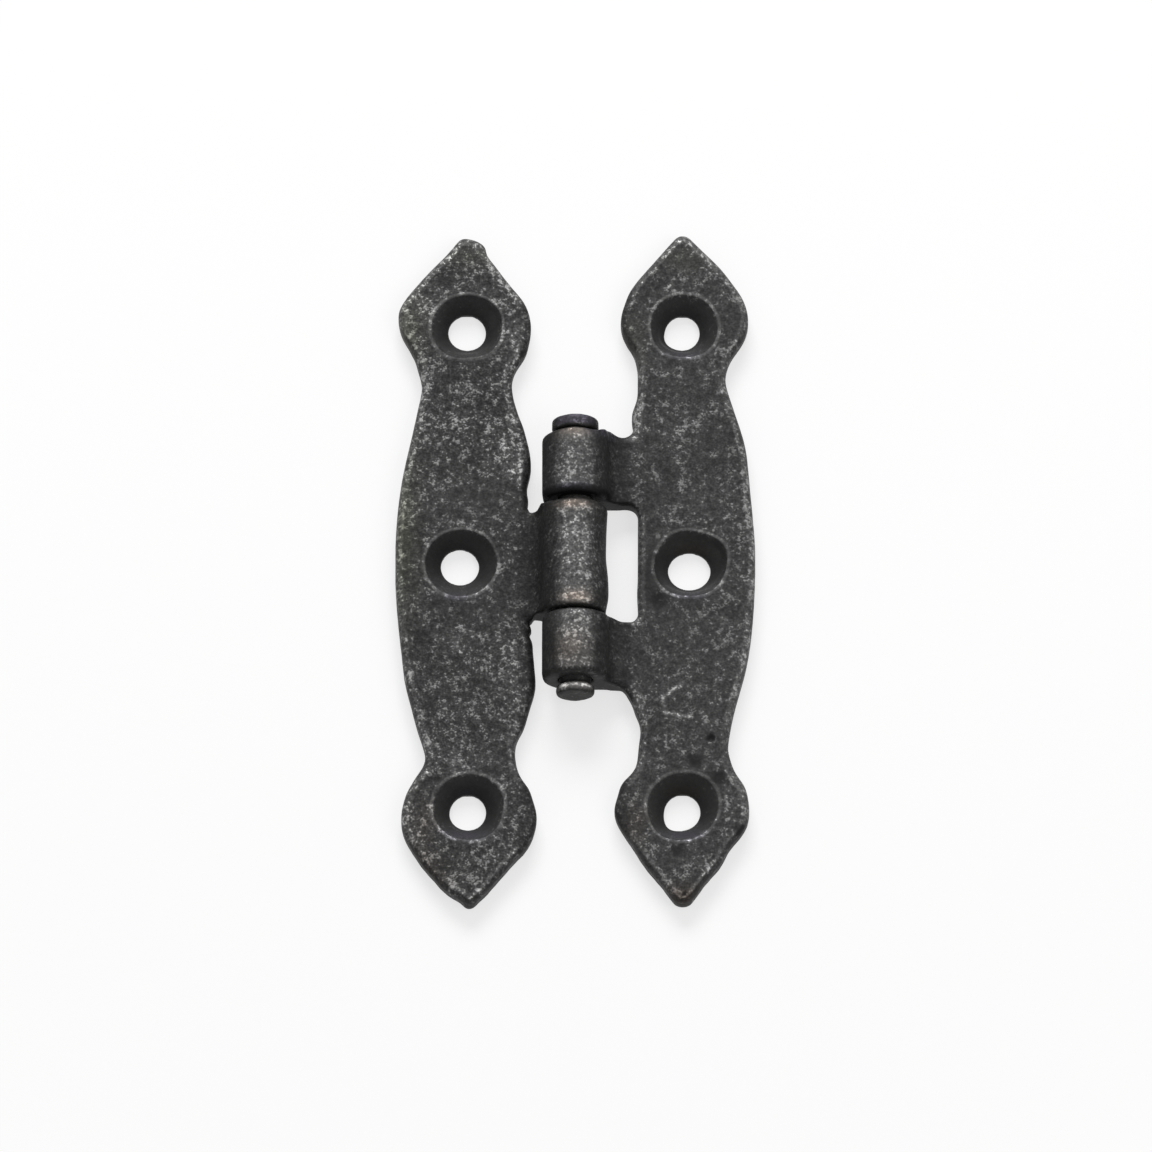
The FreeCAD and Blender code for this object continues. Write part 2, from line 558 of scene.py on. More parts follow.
class Graph:
    """The nodes of one material or of the world."""

    def __init__(self, owner: bpy.types.Material | bpy.types.World) -> None:
        """Start with an empty node tree.

        Args:
            owner: The material or world that the nodes belong to.
        """
        self.owner = owner
        owner.use_nodes = True
        self.tree = owner.node_tree
        self.tree.nodes.clear()

    def node(self, kind: str, settings: dict[str, object], values: dict[str | int, object],
             output: str | int = 0) -> Wire | None:
        """Add a node.

        Args:
            kind: The node's type.
            settings: Its own settings, which are set first.
            values: What goes into its sockets: numbers, colours or wires.
            output: The output socket to return.

        Returns:
            The chosen output, or None for a node without outputs.
        """
        made = self.tree.nodes.new(kind)
        for key, value in settings.items():
            setattr(made, key, value)
        for key, value in values.items():
            if isinstance(value, Wire):
                self.tree.links.new(value.socket, made.inputs[key])
            else:
                made.inputs[key].default_value = value
        return Wire(self, made.outputs[output]) if made.outputs else None

    def place(self) -> Wire:
        """Find the place on the piece, which stays with it as it moves.

        Returns:
            The place in millimetres.
        """
        spot = self.node("ShaderNodeTexCoord", {}, {}, "Object")
        values = {0: spot, "Scale": 1 / MM}
        return self.node("ShaderNodeVectorMath", {"operation": "SCALE"}, values)

    def noise(self, place: Wire, scale: float, detail: float, roughness: float) -> Wire:
        """Noise of a scale given in cycles for each millimetre."""
        values = {"Vector": place, "Scale": scale, "Detail": detail, "Roughness": roughness}
        return self.node("ShaderNodeTexNoise", {}, values)

    def worn(self, name: str) -> Wire:
        """A value that the mesh keeps for each vertex; the tone among them holds painted light and shade
        as well as wear.
        """
        return self.node("ShaderNodeAttribute", {"attribute_name": name}, {}, "Fac")

    def seen(self) -> Wire:
        """Tell rays that see a surface from those that only carry light.

        Returns:
            One for rays from the camera, from gloss and through glass, and nought for the rest.
        """
        rays = [
            self.node("ShaderNodeLightPath", {}, {}, name)
            for name in ("Is Camera Ray", "Is Glossy Ray", "Is Transmission Ray")
        ]
        return rays[0].larger(rays[1]).larger(rays[2])

    def blend(self, share: Wire, low: Wire | Colour, high: Wire | Colour) -> Wire:
        """Colour between two others."""
        return self.node("ShaderNodeMix", {"data_type": "RGBA"}, {0: share, 6: low, 7: high}, 2)


@dataclass(frozen=True)
class Grain:
    """One size of grain in a finish.

    Attributes:
        scale: Its cycles for each millimetre.
        weight: Its part in the whole grain.
        roughness: Strength of its finer detail.
        detail: Number of its finer layers.
    """

    scale: float
    weight: float
    roughness: float = 1.0
    detail: float = 1.0

    def draw(self, graph: Graph, place: Wire) -> Wire:
        """Noise of this size, from 0 to 1."""
        return graph.noise(place, self.scale, self.detail, self.roughness)

    def weigh(self, noise: Wire) -> Wire:
        """Its part of the whole grain, which is nought on average."""
        return (noise - 0.5) * self.weight


@dataclass(frozen=True)
class RubbedIron:
    """Black iron finish, rubbed back to grey on its high spots, with the painted light and shade that
    the mesh's tone carries.

    Attributes:
        name: Name of the material.
        sink_radius: Radius of the countersinks at the front, which keep the black finish and get painted
            shade.
        level: Brightness of the finish on an open face.
        contrast: Doublings of brightness for each unit of grain.
        fine: The fine grain.
        coarse: The coarse grain.
        cloud: The broad unevenness of the finish.
        calming: Share of the grain that full calm takes away.
        fleck_level: Brightness added by a bright fleck.
        fleck_grain: Grain between which a fleck begins and is full.
        fleck_pull: How much a light place adds to the grain that flecks are made of.
        curl: Wandering noise whose middle makes curly scratches.
        curl_width: Distances from its middle between which a scratch fades.
        curl_gate: Coarse grain between which scratches set in.
        curl_grain: Fine grain between which they do.
        metal: Metallic value of the finish, and what a fleck adds to it.
        roughness: Roughness of the finish, and what a fleck adds to it.
        sink_gain: Doublings of brightness deep in a countersink, below nought: its black finish and
            painted shade.
        rim_gain: Doublings added towards the countersink's rim, where the painted shade lifts.
        hole_radius: Radius at which that begins.
        lip: Width of the countersink's rim.
        ring_gain: Doublings of brightness in the worn ring round a countersink.
        ring_offset: Distance of that ring from the countersink's radius.
        ring_width: Distances from its middle between which it fades.
        ring_gate: Coarse grain between which the ring is whole.
        bump_m: Height of the grain, in metres.
    """

    name: str
    sink_radius: float = 4.15
    level: float = 0.0347
    contrast: float = 4.7
    fine: Grain = Grain(2.1, 1.2)
    coarse: Grain = Grain(0.65, 0.55)
    cloud: Grain = Grain(0.17, 0.35, 0.5)
    calming: float = 0.55
    fleck_level: float = 0.068
    fleck_grain: Pair = (0.13, 0.26)
    fleck_pull: float = 0.06
    curl: Grain = Grain(0.9, 0.75, 0.6, 2.0)
    curl_width: Pair = (0.02, 0.055)
    curl_gate: Pair = (0.5, 0.62)
    curl_grain: Pair = (-0.03, 0.07)
    metal: Pair = (0.35, 0.45)
    roughness: Pair = (0.58, -0.15)
    sink_gain: float = -1.25
    rim_gain: float = 0.75
    hole_radius: float = 2.4
    lip: float = 0.2
    ring_gain: float = 1.35
    ring_offset: float = 0.14
    ring_width: Pair = (0.08, 0.32)
    ring_gate: Pair = (0.38, 0.6)
    bump_m: float = 0.00004

    def build(self) -> bpy.types.Material:
        """Make the material from the grain and the wear that the mesh keeps.

        Returns:
            The material.
        """
        graph = Graph(bpy.data.materials.new(self.name))
        place = graph.place()
        # The tone carries wear and also painted highlights and painted shade.
        tone, calm = graph.worn("tone"), graph.worn("calm")
        fine, coarse, cloud = (size.draw(graph, place) for size in (self.fine, self.coarse, self.cloud))
        tone = tone + self.sink_tone(graph, coarse)
        grain = self.fine.weigh(fine) + self.coarse.weigh(coarse) + self.cloud.weigh(cloud)
        grain = grain * (1 - self.calming * calm)
        fleck = self.flecks(graph, place, grain + self.fleck_pull * tone, coarse)
        gain = 2 ** (self.contrast * grain + tone)
        level = self.level * gain + self.fleck_level * fleck * 2 ** (0.5 * tone)
        hue = Tint.IRON.colour()
        for tint in (Tint.RUST, Tint.OLIVE, Tint.BLUE):
            hue = graph.blend(graph.worn(tint.name.lower()), hue, tint.colour())
        base = graph.blend(level, grey(0.0), hue)
        height = grain + 0.3 * fleck
        bump = graph.node("ShaderNodeBump", {}, {"Distance": self.bump_m, "Height": height})
        shader = graph.node("ShaderNodeBsdfPrincipled", {}, {
            "Base Color": base,
            "Metallic": self.metal[0] + self.metal[1] * fleck,
            "Roughness": self.roughness[0] + self.roughness[1] * fleck,
            "Specular IOR Level": 0.2,
            "Normal": bump,
        })
        graph.node("ShaderNodeOutputMaterial", {}, {"Surface": shader})
        return graph.owner

    def sink_tone(self, graph: Graph, coarse: Wire) -> Wire:
        """Black countersinks, with painted shade deep in, inside a thin worn ring.

        Args:
            graph: The material's nodes.
            coarse: Noise that breaks up the ring.

        Returns:
            Doublings of brightness to add.
        """
        away = graph.worn("away")
        inside = 1 - away.step(self.sink_radius - self.lip, self.sink_radius)
        # Painted shade deepest in the countersink, over its black finish.
        depth = self.sink_gain + self.rim_gain * away.step(self.hole_radius, self.sink_radius - self.lip)
        ring = 1 - away.distance_to(self.sink_radius + self.ring_offset).step(*self.ring_width)
        broken = 0.6 + 0.4 * coarse.step(*self.ring_gate)
        return (depth * inside + self.ring_gain * ring * broken) * graph.worn("front")

    def flecks(self, graph: Graph, place: Wire, grain: Wire, coarse: Wire) -> Wire:
        """Bright flecks and short curly scratches.

        Args:
            graph: The material's nodes.
            place: Place on the piece in millimetres.
            grain: Grain, whose peaks are bright.
            coarse: Noise that gathers the scratches.

        Returns:
            Share of bright metal, from 0 to 1.
        """
        specks = grain.step(*self.fleck_grain)
        gate = coarse.step(*self.curl_gate) * grain.step(*self.curl_grain)
        wander = self.curl.draw(graph, place)
        curls = (1 - wander.distance_to(0.5).step(*self.curl_width)) * gate
        return specks.larger(curls * self.curl.weight)


@dataclass(frozen=True)
class StudioPaint:
    """Plain pale finish of the floor, which goes over into the white room.

    Attributes:
        level: Brightness of the floor.
        glow: Share of plain white that the camera sees in it near the hinge.
        fade_m: Distances from the hinge between which it goes over into the room.
    """

    level: float = 0.95
    glow: float = 0.66
    fade_m: Pair = (0.055, 0.2)

    def build(self) -> bpy.types.Material:
        """Make the material.

        Returns:
            The material.
        """
        graph = Graph(bpy.data.materials.new("studio_floor"))
        paint = graph.node("ShaderNodeBsdfPrincipled", {}, {
            "Base Color": grey(self.level),
            "Roughness": 0.9,
            "Specular IOR Level": 0.1,
        })
        white = graph.node("ShaderNodeEmission", {}, {"Color": grey(1.0), "Strength": 1.0})
        spot = graph.node("ShaderNodeTexCoord", {}, {}, "Object")
        away = graph.node("ShaderNodeVectorMath", {"operation": "LENGTH"}, {0: spot}, "Value")
        share = self.glow + (1 - self.glow) * away.step(*self.fade_m)
        share = share * graph.seen()
        mixed = graph.node("ShaderNodeMixShader", {}, {0: share, 1: paint, 2: white})
        graph.node("ShaderNodeOutputMaterial", {}, {"Surface": mixed})
        return graph.owner


@dataclass
class Piece:
    """What stands in for one solid.

    Attributes:
        node: The solid's name.
        body: The moving body it rides on.
        slot: Name of a material slot; not used.
        seed: Seed of its unevenness.
        uneven: Height and wavelength of each layer of it, and the share by which it is lowered.
    """

    node: str
    body: str
    slot: str
    seed: int
    uneven: tuple[Triple, ...] = ()

    def unevenness(self, points: Array) -> Array:
        """Find how far the uneven surface stands out.

        Args:
            points: Places in millimetres.

        Returns:
            Height at each point in millimetres, below nought where it lies in.
        """
        lattice = Lattice(self.seed)
        lift = np.zeros(len(points))
        for height, wavelength, lowered in self.uneven:
            lift += height * (lattice.at(points, wavelength) - lowered)
        return lift

    def keep_inside(self, skin: Skin) -> None:
        """Bring back what stands out of the solid's box."""
        low, high = (np.array(corner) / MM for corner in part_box(self.node))
        skin.points = np.clip(skin.points, low, high)

    def dress(self, piece: bpy.types.Object, finish: bpy.types.Material) -> bpy.types.Object:
        """Give the made piece its finish and let it ride in place of its solid.

        Args:
            piece: The made piece.
            finish: The material it gets.

        Returns:
            The same piece.
        """
        piece.data.materials.append(finish)
        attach(piece, self.body)
        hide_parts(self.node)
        return piece


@dataclass
class Casting(Piece):
    """A leaf recast from its solid and worn like the real one, with painted light and shade in its
    finish.

    Attributes:
        grain: Edge length of its mesh.
        edge_rounds: How many rounds its edges are softened.
        flank_share: Share of the unevenness that the flanks get.
        lean: Share by which the plate leans sideways along its height.
        draft: How far the inner edge draws back at its underside.
        draft_height: Height over which it does so.
        draft_place: Distances from the pin between which that begins, and between which it ends.
        pin_height: Height of the pin's line above the back of the hinge.
        bore: Distances from that line between which pushes set in.
        plate_start: Distance from the pin at which the plate is free to lean.
        plate_full: Distance from the pin at which it leans fully.
        plate_top: Height of the plate's front face.
        plate_edge: Distances from the pin between which the wear of the plate's edges sets in.
        front_wear: Wear of the front's edges, and what the lower flanks get besides.
        front_blunt: Rounds of smoothing for that wear, and the bulge at which it begins.
        back_wear: Wear of the back's edges.
        back_blunt: The same as for the front.
        back_rounds: How many times the back's edges are worn.
        side_wear_and_highlight: Doublings of brightness along the front's upper and side edges, from
            wear and a painted highlight.
        rim_gain: The same along its lower edges, a painted highlight line on the worn edge.
        barrel_shade_gain: The same on the whole barrel, painted shade that the crest lightens again
            where it faces the front.
        crest_rub_and_sheen: What is added to that where the barrel faces the front: rubbed metal and a
            painted highlight.
        lit_hole_wall_gain: The same on the lower wall of a screw hole, painted light where it faces the
            lamp.
        stain_gain: The same in a greenish stain.
        even_stain: How even a greenish stain is; one is fully even.
        even_ring: The same for the ring round a countersink.
        even_wall: The same for the sides.
        even_pit: The same for a pit.
        even_rim: The same for the front's lower edges.
        even_sink: The same for a countersink.
        sink_radius: Radius of the countersinks at the front.
        holes: Centres of the screw holes, x and y.
        knuckles: Its knuckles.
        nudges: Local pushes that give it the real outline.
        patches: Places that are rubbed lighter or left darker, and painted highlights and shade on the
            knuckles.
        flanks: Painted light and shade on the sides only: places where they are lighter or darker.
        calm: How evenly the whole front is finished; one is fully even.
        quiet: Places that are finished more evenly than that, or less.
        rust: Brown stains.
        olive: Greenish stains.
        blue: Bluish stains.
        scratches: Thin scuffs on its front face.
        pits: Hollows in its front face.
    """

    uneven: tuple[Triple, ...] = ((0.05, 7.0, 0.4), (0.025, 1.8, 0.4), (0.014, 0.7, 0.4))
    grain: float = 0.2
    edge_rounds: int = 5
    flank_share: float = 0.4
    lean: float = 0.0
    draft: float = 0.35
    draft_height: float = 0.9
    draft_place: tuple[Pair, Pair] = ((4.0, 4.4), (5.0, 6.2))
    pin_height: float = PIN_HEIGHT
    bore: Pair = (2.2, 3.1)
    plate_start: float = 5.5
    plate_full: float = 9.0
    plate_top: float = 2.6
    plate_edge: Pair = (4.6, 5.6)
    front_wear: Pair = (0.45, 0.5)
    front_blunt: tuple[int, float] = (24, 0.03)
    back_wear: float = 0.6
    back_blunt: tuple[int, float] = (6, 0.008)
    back_rounds: int = 3
    side_wear_and_highlight: float = 1.25
    rim_gain: float = 2.7
    barrel_shade_gain: float = -0.85
    crest_rub_and_sheen: float = 2.1
    lit_hole_wall_gain: float = 0.5
    stain_gain: float = 0.25
    even_stain: float = 0.7
    even_ring: float = 0.8
    even_wall: float = 0.6
    even_pit: float = 0.9
    even_rim: float = 0.8
    even_sink: float = 1.5
    sink_radius: float = 4.1
    holes: tuple[Pair, ...] = ()
    knuckles: tuple[Knuckle, ...] = ()
    nudges: tuple[Nudge | Ream, ...] = ()
    patches: tuple[Patch, ...] = ()
    flanks: tuple[Patch, ...] = ()
    calm: float = 0.0
    quiet: tuple[Patch, ...] = ()
    rust: tuple[Patch, ...] = ()
    olive: tuple[Patch, ...] = ()
    blue: tuple[Patch, ...] = ()
    scratches: tuple[Scratch, ...] = ()
    pits: tuple[Pit, ...] = ()

    def shape(self, points: Array) -> None:
        """Give points of the solid their place in the real casting.

        Args:
            points: Places in millimetres, which are changed in place.
        """
        solid = points.copy()
        free = ramp_up(np.abs(points[:, 0]), self.plate_start, self.plate_full)
        points[:, 0] += self.lean * points[:, 1] * free
        for nudge in self.nudges:
            nudge.apply(points)
        from_line = np.hypot(solid[:, 0], solid[:, 2] - self.pin_height)
        points += (solid - points) * (1 - ramp_up(from_line, *self.bore))[:, None]
        from_pin = np.abs(points[:, 0])
        drawn = self.draft * (1 - ramp_up(points[:, 2], 0.0, self.draft_height))
        begin, end = self.draft_place
        drawn *= ramp_up(from_pin, *begin) * (1 - ramp_up(from_pin, *end))
        points[:, 0] += np.sign(points[:, 0]) * drawn

    def blunt_edges(self, skin: Skin, away: Array) -> None:
        """Wear the front's edges round, most of all along the lower flanks, and the back's a little.

        Args:
            skin: The recast mesh, before it is shaped.
            away: Distance of each point from the nearest screw hole.
        """
        points = skin.points
        down = ramp_up(-skin.normals()[:, 1], 0.1, 0.5)
        plate = ramp_up(np.abs(points[:, 0]), *self.plate_edge)
        where = (self.front_wear[0] + self.front_wear[1] * down) * ramp_up(points[:, 2], 0.9, 1.6)
        where *= plate
        where *= ramp_up(away, self.sink_radius + 0.4, self.sink_radius + 1.2)
        skin.blunt(where, *self.front_blunt)
        back = self.back_wear * (1 - ramp_up(points[:, 2], 0.3, 0.9)) * ramp_up(away, 2.6, 3.2)
        back *= plate
        for _ in range(self.back_rounds):
            skin.blunt(back, *self.back_blunt)

    def build(self, finish: bpy.types.Material) -> bpy.types.Object:
        """Recast, shape, wear and dress the leaf.

        Args:
            finish: The material it gets.

        Returns:
            The finished leaf, riding on its body in place of its solid.
        """
        piece = recast(self.node, self.node + "_cast", self.grain)
        skin = Skin(piece.data)
        away = np.min([away_from(hole, skin.points) for hole in self.holes], axis=0)
        skin.soften(self.edge_rounds)
        for knuckle in self.knuckles:
            knuckle.apply(skin.points)
        self.blunt_edges(skin, away)
        self.shape(skin.points)
        normals = skin.normals()
        front = ramp_up(normals[:, 2], 0.3, 0.8)
        lift = self.unevenness(skin.points)
        lift *= self.flank_share + (1 - self.flank_share) * front
        for pit in self.pits:
            lift -= pit.depth * pit.weigh(skin.points) * front
        skin.points += normals * lift[:, None]
        self.keep_inside(skin)
        self.wear(skin, away)
        skin.write()
        return self.dress(piece, finish)

    def wear(self, skin: Skin, away: Array) -> None:
        """Keep on the mesh how light, brown, greenish, bluish and even each place is; its lightness
        holds painted light and shade besides wear.

        Args:
            skin: The shaped mesh.
            away: Distance of each point from the nearest screw hole, before it was shaped.
        """
        points = skin.points
        normals = skin.normals()
        facing = normals[:, 2]
        from_pin = np.abs(points[:, 0])
        near_hole = 1 - ramp_up(away, self.sink_radius, self.sink_radius + 1.2)
        on_barrel = ramp_up(points[:, 2], self.plate_top + 0.5, self.plate_top + 1.6)
        on_barrel = on_barrel * (1 - ramp_up(from_pin, 4.2, 5.0))
        # Painted shade on the metal next to the barrel, over its unrubbed black finish.
        neck_shade = (1 - ramp_up(from_pin, 5.6, 7.2)) * (1 - on_barrel)
        down = ramp_up(-normals[:, 1], 0.1, 0.5)
        bulge = skin.bulge(normals, 50)
        # Upper and side edges lighter from wear and a painted highlight; a painted highlight line on the
        # worn lower edges.
        side_band = ramp_up(bulge, 0.045, 0.13) * ramp_up(facing, 0.0, 0.25) * (1 - down)
        rim_line = ramp_up(bulge, 0.018, 0.055) * ramp_up(facing, 0.78, 0.94) * down
        band = self.side_wear_and_highlight * side_band + self.rim_gain * rim_line
        tone = band * (1 - near_hole) * (1 - neck_shade) * (1 - on_barrel) - neck_shade
        # Painted highlight on the barrel's crest, with rubbed metal, and painted shade on its flanks.
        tone += on_barrel * (self.crest_rub_and_sheen * ramp_up(facing, 0.68, 0.97) + self.barrel_shade_gain)
        # Painted light and shade on the knuckle rims, and a painted highlight on their crest.
        for knuckle in self.knuckles:
            tone += knuckle.tone(points) * on_barrel
        # Painted light on the screw holes' walls that face the lamp.
        tone += self.lit_hole_wall_gain * near_hole * ramp_up(normals[:, 1], 0.2, 0.6)
        olive = self.sum_of(self.olive, points)
        # Patches hold rubbing on the plates and painted highlights and shade on the knuckles.
        tone += self.sum_of(self.patches, points) + self.stain_gain * olive
        tone += self.sum_of(self.scratches, points) * ramp_up(facing, 0.5, 0.8)
        # Painted light and shade on the sides.
        tone += self.sum_of(self.flanks, points) * (1 - ramp_up(facing, 0.6, 0.9))
        hollow = np.zeros(len(points))
        for pit in self.pits:
            share = pit.weigh(points) * ramp_up(facing, 0.0, 0.2)
            tone += pit.gain * share
            hollow = np.maximum(hollow, share)
        skin.store("tone", tone)
        skin.store("away", away)
        front = ramp_up(facing, 0.05, 0.3)
        skin.store("front", front)
        skin.store("olive", np.clip(olive, 0.0, 1.0))
        skin.store("rust", np.clip(self.sum_of(self.rust, points), 0.0, 1.0) * (0.3 + 0.7 * front))
        skin.store("blue", np.clip(self.sum_of(self.blue, points), 0.0, 1.0) * front)
        calm = self.calm + self.sum_of(self.quiet, points) + self.even_stain * olive
        in_sink = 1 - ramp_up(away, self.sink_radius - 0.4, self.sink_radius)
        on_ring = 1 - ramp_up(np.abs(away - self.sink_radius - 0.15), 0.15, 0.45)
        wall = 1 - ramp_up(facing, 0.4, 0.7)
        calm += self.even_ring * on_ring + self.even_wall * wall
        calm += self.even_pit * hollow + self.even_rim * rim_line
        skin.store("calm", np.clip(calm, -0.5, 1.0) * (1 - in_sink) + self.even_sink * in_sink)

    @staticmethod
    def sum_of(patches: tuple[Patch | Scratch, ...], points: Array) -> Array:
        """Sum of the gains of patches or scratches at each point."""
        return sum((patch.weigh(points) for patch in patches), np.zeros(len(points)))


@dataclass
class Pin(Piece):
    """The hinge pin, turned in one piece: button head, shank and spread tail.

    Attributes:
        axis_height: Height of its line above the back of the hinge.
        profile: Its outline from the tail to the head, as place along the pin and radius.
        step: Spacing of the mesh along the outline.
        sides: Number of sides round it.
        bright: Painted highlights along the pin, as place, reach and gain.
        free: Places along the pin between which its tail ends and its head begins.
        grooves: Shaded places behind the tail and under the head, from and to.
        groove_gain: Doublings of brightness in them.
    """

    node: str = "hinge_pin"
    body: str = "right_side"
    slot: str = "pin_steel"
    seed: int = 5
    uneven: tuple[Triple, ...] = ((0.05, 1.7, 0.3), (0.02, 0.6, 0.0))
    axis_height: float = PIN_HEIGHT
    profile: tuple[Pair, ...] = (
        (-16.35, 0.0), (-16.39, 1.2), (-16.38, 1.9), (-16.26, 2.16), (-15.95, 2.26), (-15.55, 2.26),
        (-15.2, 2.15), (-15.1, 1.85), (-14.75, 1.75), (-14.3, 1.98), (15.1, 1.98), (15.5, 1.95),
        (15.9, 2.05), (16.08, 2.55), (16.3, 2.75), (16.8, 2.75), (17.3, 2.74), (17.52, 2.62),
        (17.6, 2.3), (17.6, 0.9), (17.6, 0.0),
    )
    step: float = 0.14
    sides: int = 96
    bright: tuple[Triple, ...] = ((-15.6, 0.45, 3.7), (17.3, 0.35, 0.5))
    free: tuple[Pair, Pair] = ((-15.0, -14.6), (15.4, 15.8))
    grooves: tuple[Pair, ...] = ((-15.0, -14.4), (15.3, 15.95))
    groove_gain: float = -1.6

    def rings(self) -> Array:
        """Space points closely along the outline.

        Returns:
            Place along the pin and radius of each.
        """
        corners = np.array(self.profile)
        lengths = np.hypot(*np.diff(corners, axis=0).T)
        at = np.concatenate([[0.0], np.cumsum(lengths)])
        count = int(at[-1] / self.step)
        wanted = np.linspace(0.0, at[-1], count)
        line = np.stack([np.interp(wanted, at, corners[:, axis]) for axis in range(2)], axis=1)
        smooth = line.copy()
        smooth[1:-1] = 0.25 * line[:-2] + 0.5 * line[1:-1] + 0.25 * line[2:]
        return smooth

    def turn(self) -> bpy.types.Mesh:
        """Turn the outline round the pin's line.

        Returns:
            A closed mesh in metres.
        """
        rings = self.rings()[1:-1]
        angles = np.linspace(0.0, 2 * math.pi, self.sides, endpoint=False)
        count = len(rings)
        x = rings[:, 1:2] * np.sin(angles)
        z = self.axis_height + rings[:, 1:2] * np.cos(angles)
        y = np.broadcast_to(rings[:, 0:1], x.shape)
        points = np.stack([x, y, z], axis=2).reshape(-1, 3)
        ends = np.array([(0.0, self.profile[end][0], self.axis_height) for end in (0, -1)])
        points = np.concatenate([points, ends]) * MM
        faces = []
        for ring in range(count - 1):
            for side in range(self.sides):
                after = (side + 1) % self.sides
                here, there = ring * self.sides, (ring + 1) * self.sides
                faces.append((here + side, here + after, there + after, there + side))
        tail, head, last = count * self.sides, count * self.sides + 1, (count - 1) * self.sides
        for side in range(self.sides):
            after = (side + 1) % self.sides
            faces.append((tail, after, side))
            faces.append((head, last + side, last + after))
        mesh = bpy.data.meshes.new(self.node + "_turned")
        mesh.from_pydata(points.tolist(), [], faces)
        mesh.shade_smooth()
        return mesh

    def build(self, finish: bpy.types.Material) -> bpy.types.Object:
        """Turn, wear and dress the pin.

        Args:
            finish: The material it gets.

        Returns:
            The finished pin, riding on its body in place of its solid.
        """
        mesh = self.turn()
        piece = bpy.data.objects.new(mesh.name, mesh)
        bpy.context.collection.objects.link(piece)
        skin = Skin(mesh)
        normals = skin.normals()
        points = skin.points
        lift = self.unevenness(points)
        tail, head = self.free
        ends = 1 - ramp_up(points[:, 1], *tail) * (1 - ramp_up(points[:, 1], *head))
        skin.points = points + normals * (lift * ends)[:, None]
        self.keep_inside(skin)
        facing = skin.normals()[:, 2]
        # Painted highlight where the pin faces up to the front, and painted shade on its sides.
        tone = 0.9 * ramp_up(facing, 0.3, 1.0) - 0.65
        # Painted highlights on the tail's rim and the head.
        for place, reach, gain in self.bright:
            tone += gain * np.exp(-(((points[:, 1] - place) / reach) ** 2)) * ramp_up(facing, 0.1, 0.7)
        for low_y, high_y in self.grooves:
            groove = ramp_up(points[:, 1], low_y - 0.2, low_y)
            groove *= 1 - ramp_up(points[:, 1], high_y, high_y + 0.2)
            tone += self.groove_gain * groove
        skin.store("tone", tone)
        skin.store("blue", 0.8 * ramp_up(points[:, 1], 16.2, 16.6) * ramp_up(facing, 0.2, 0.7))
        even = {"front": 0.0, "away": 99.0, "rust": 0.1, "olive": 0.0, "calm": 0.8}
        for name, level in even.items():
            skin.store(name, np.full(len(tone), level))
        skin.write()
        return self.dress(piece, finish)


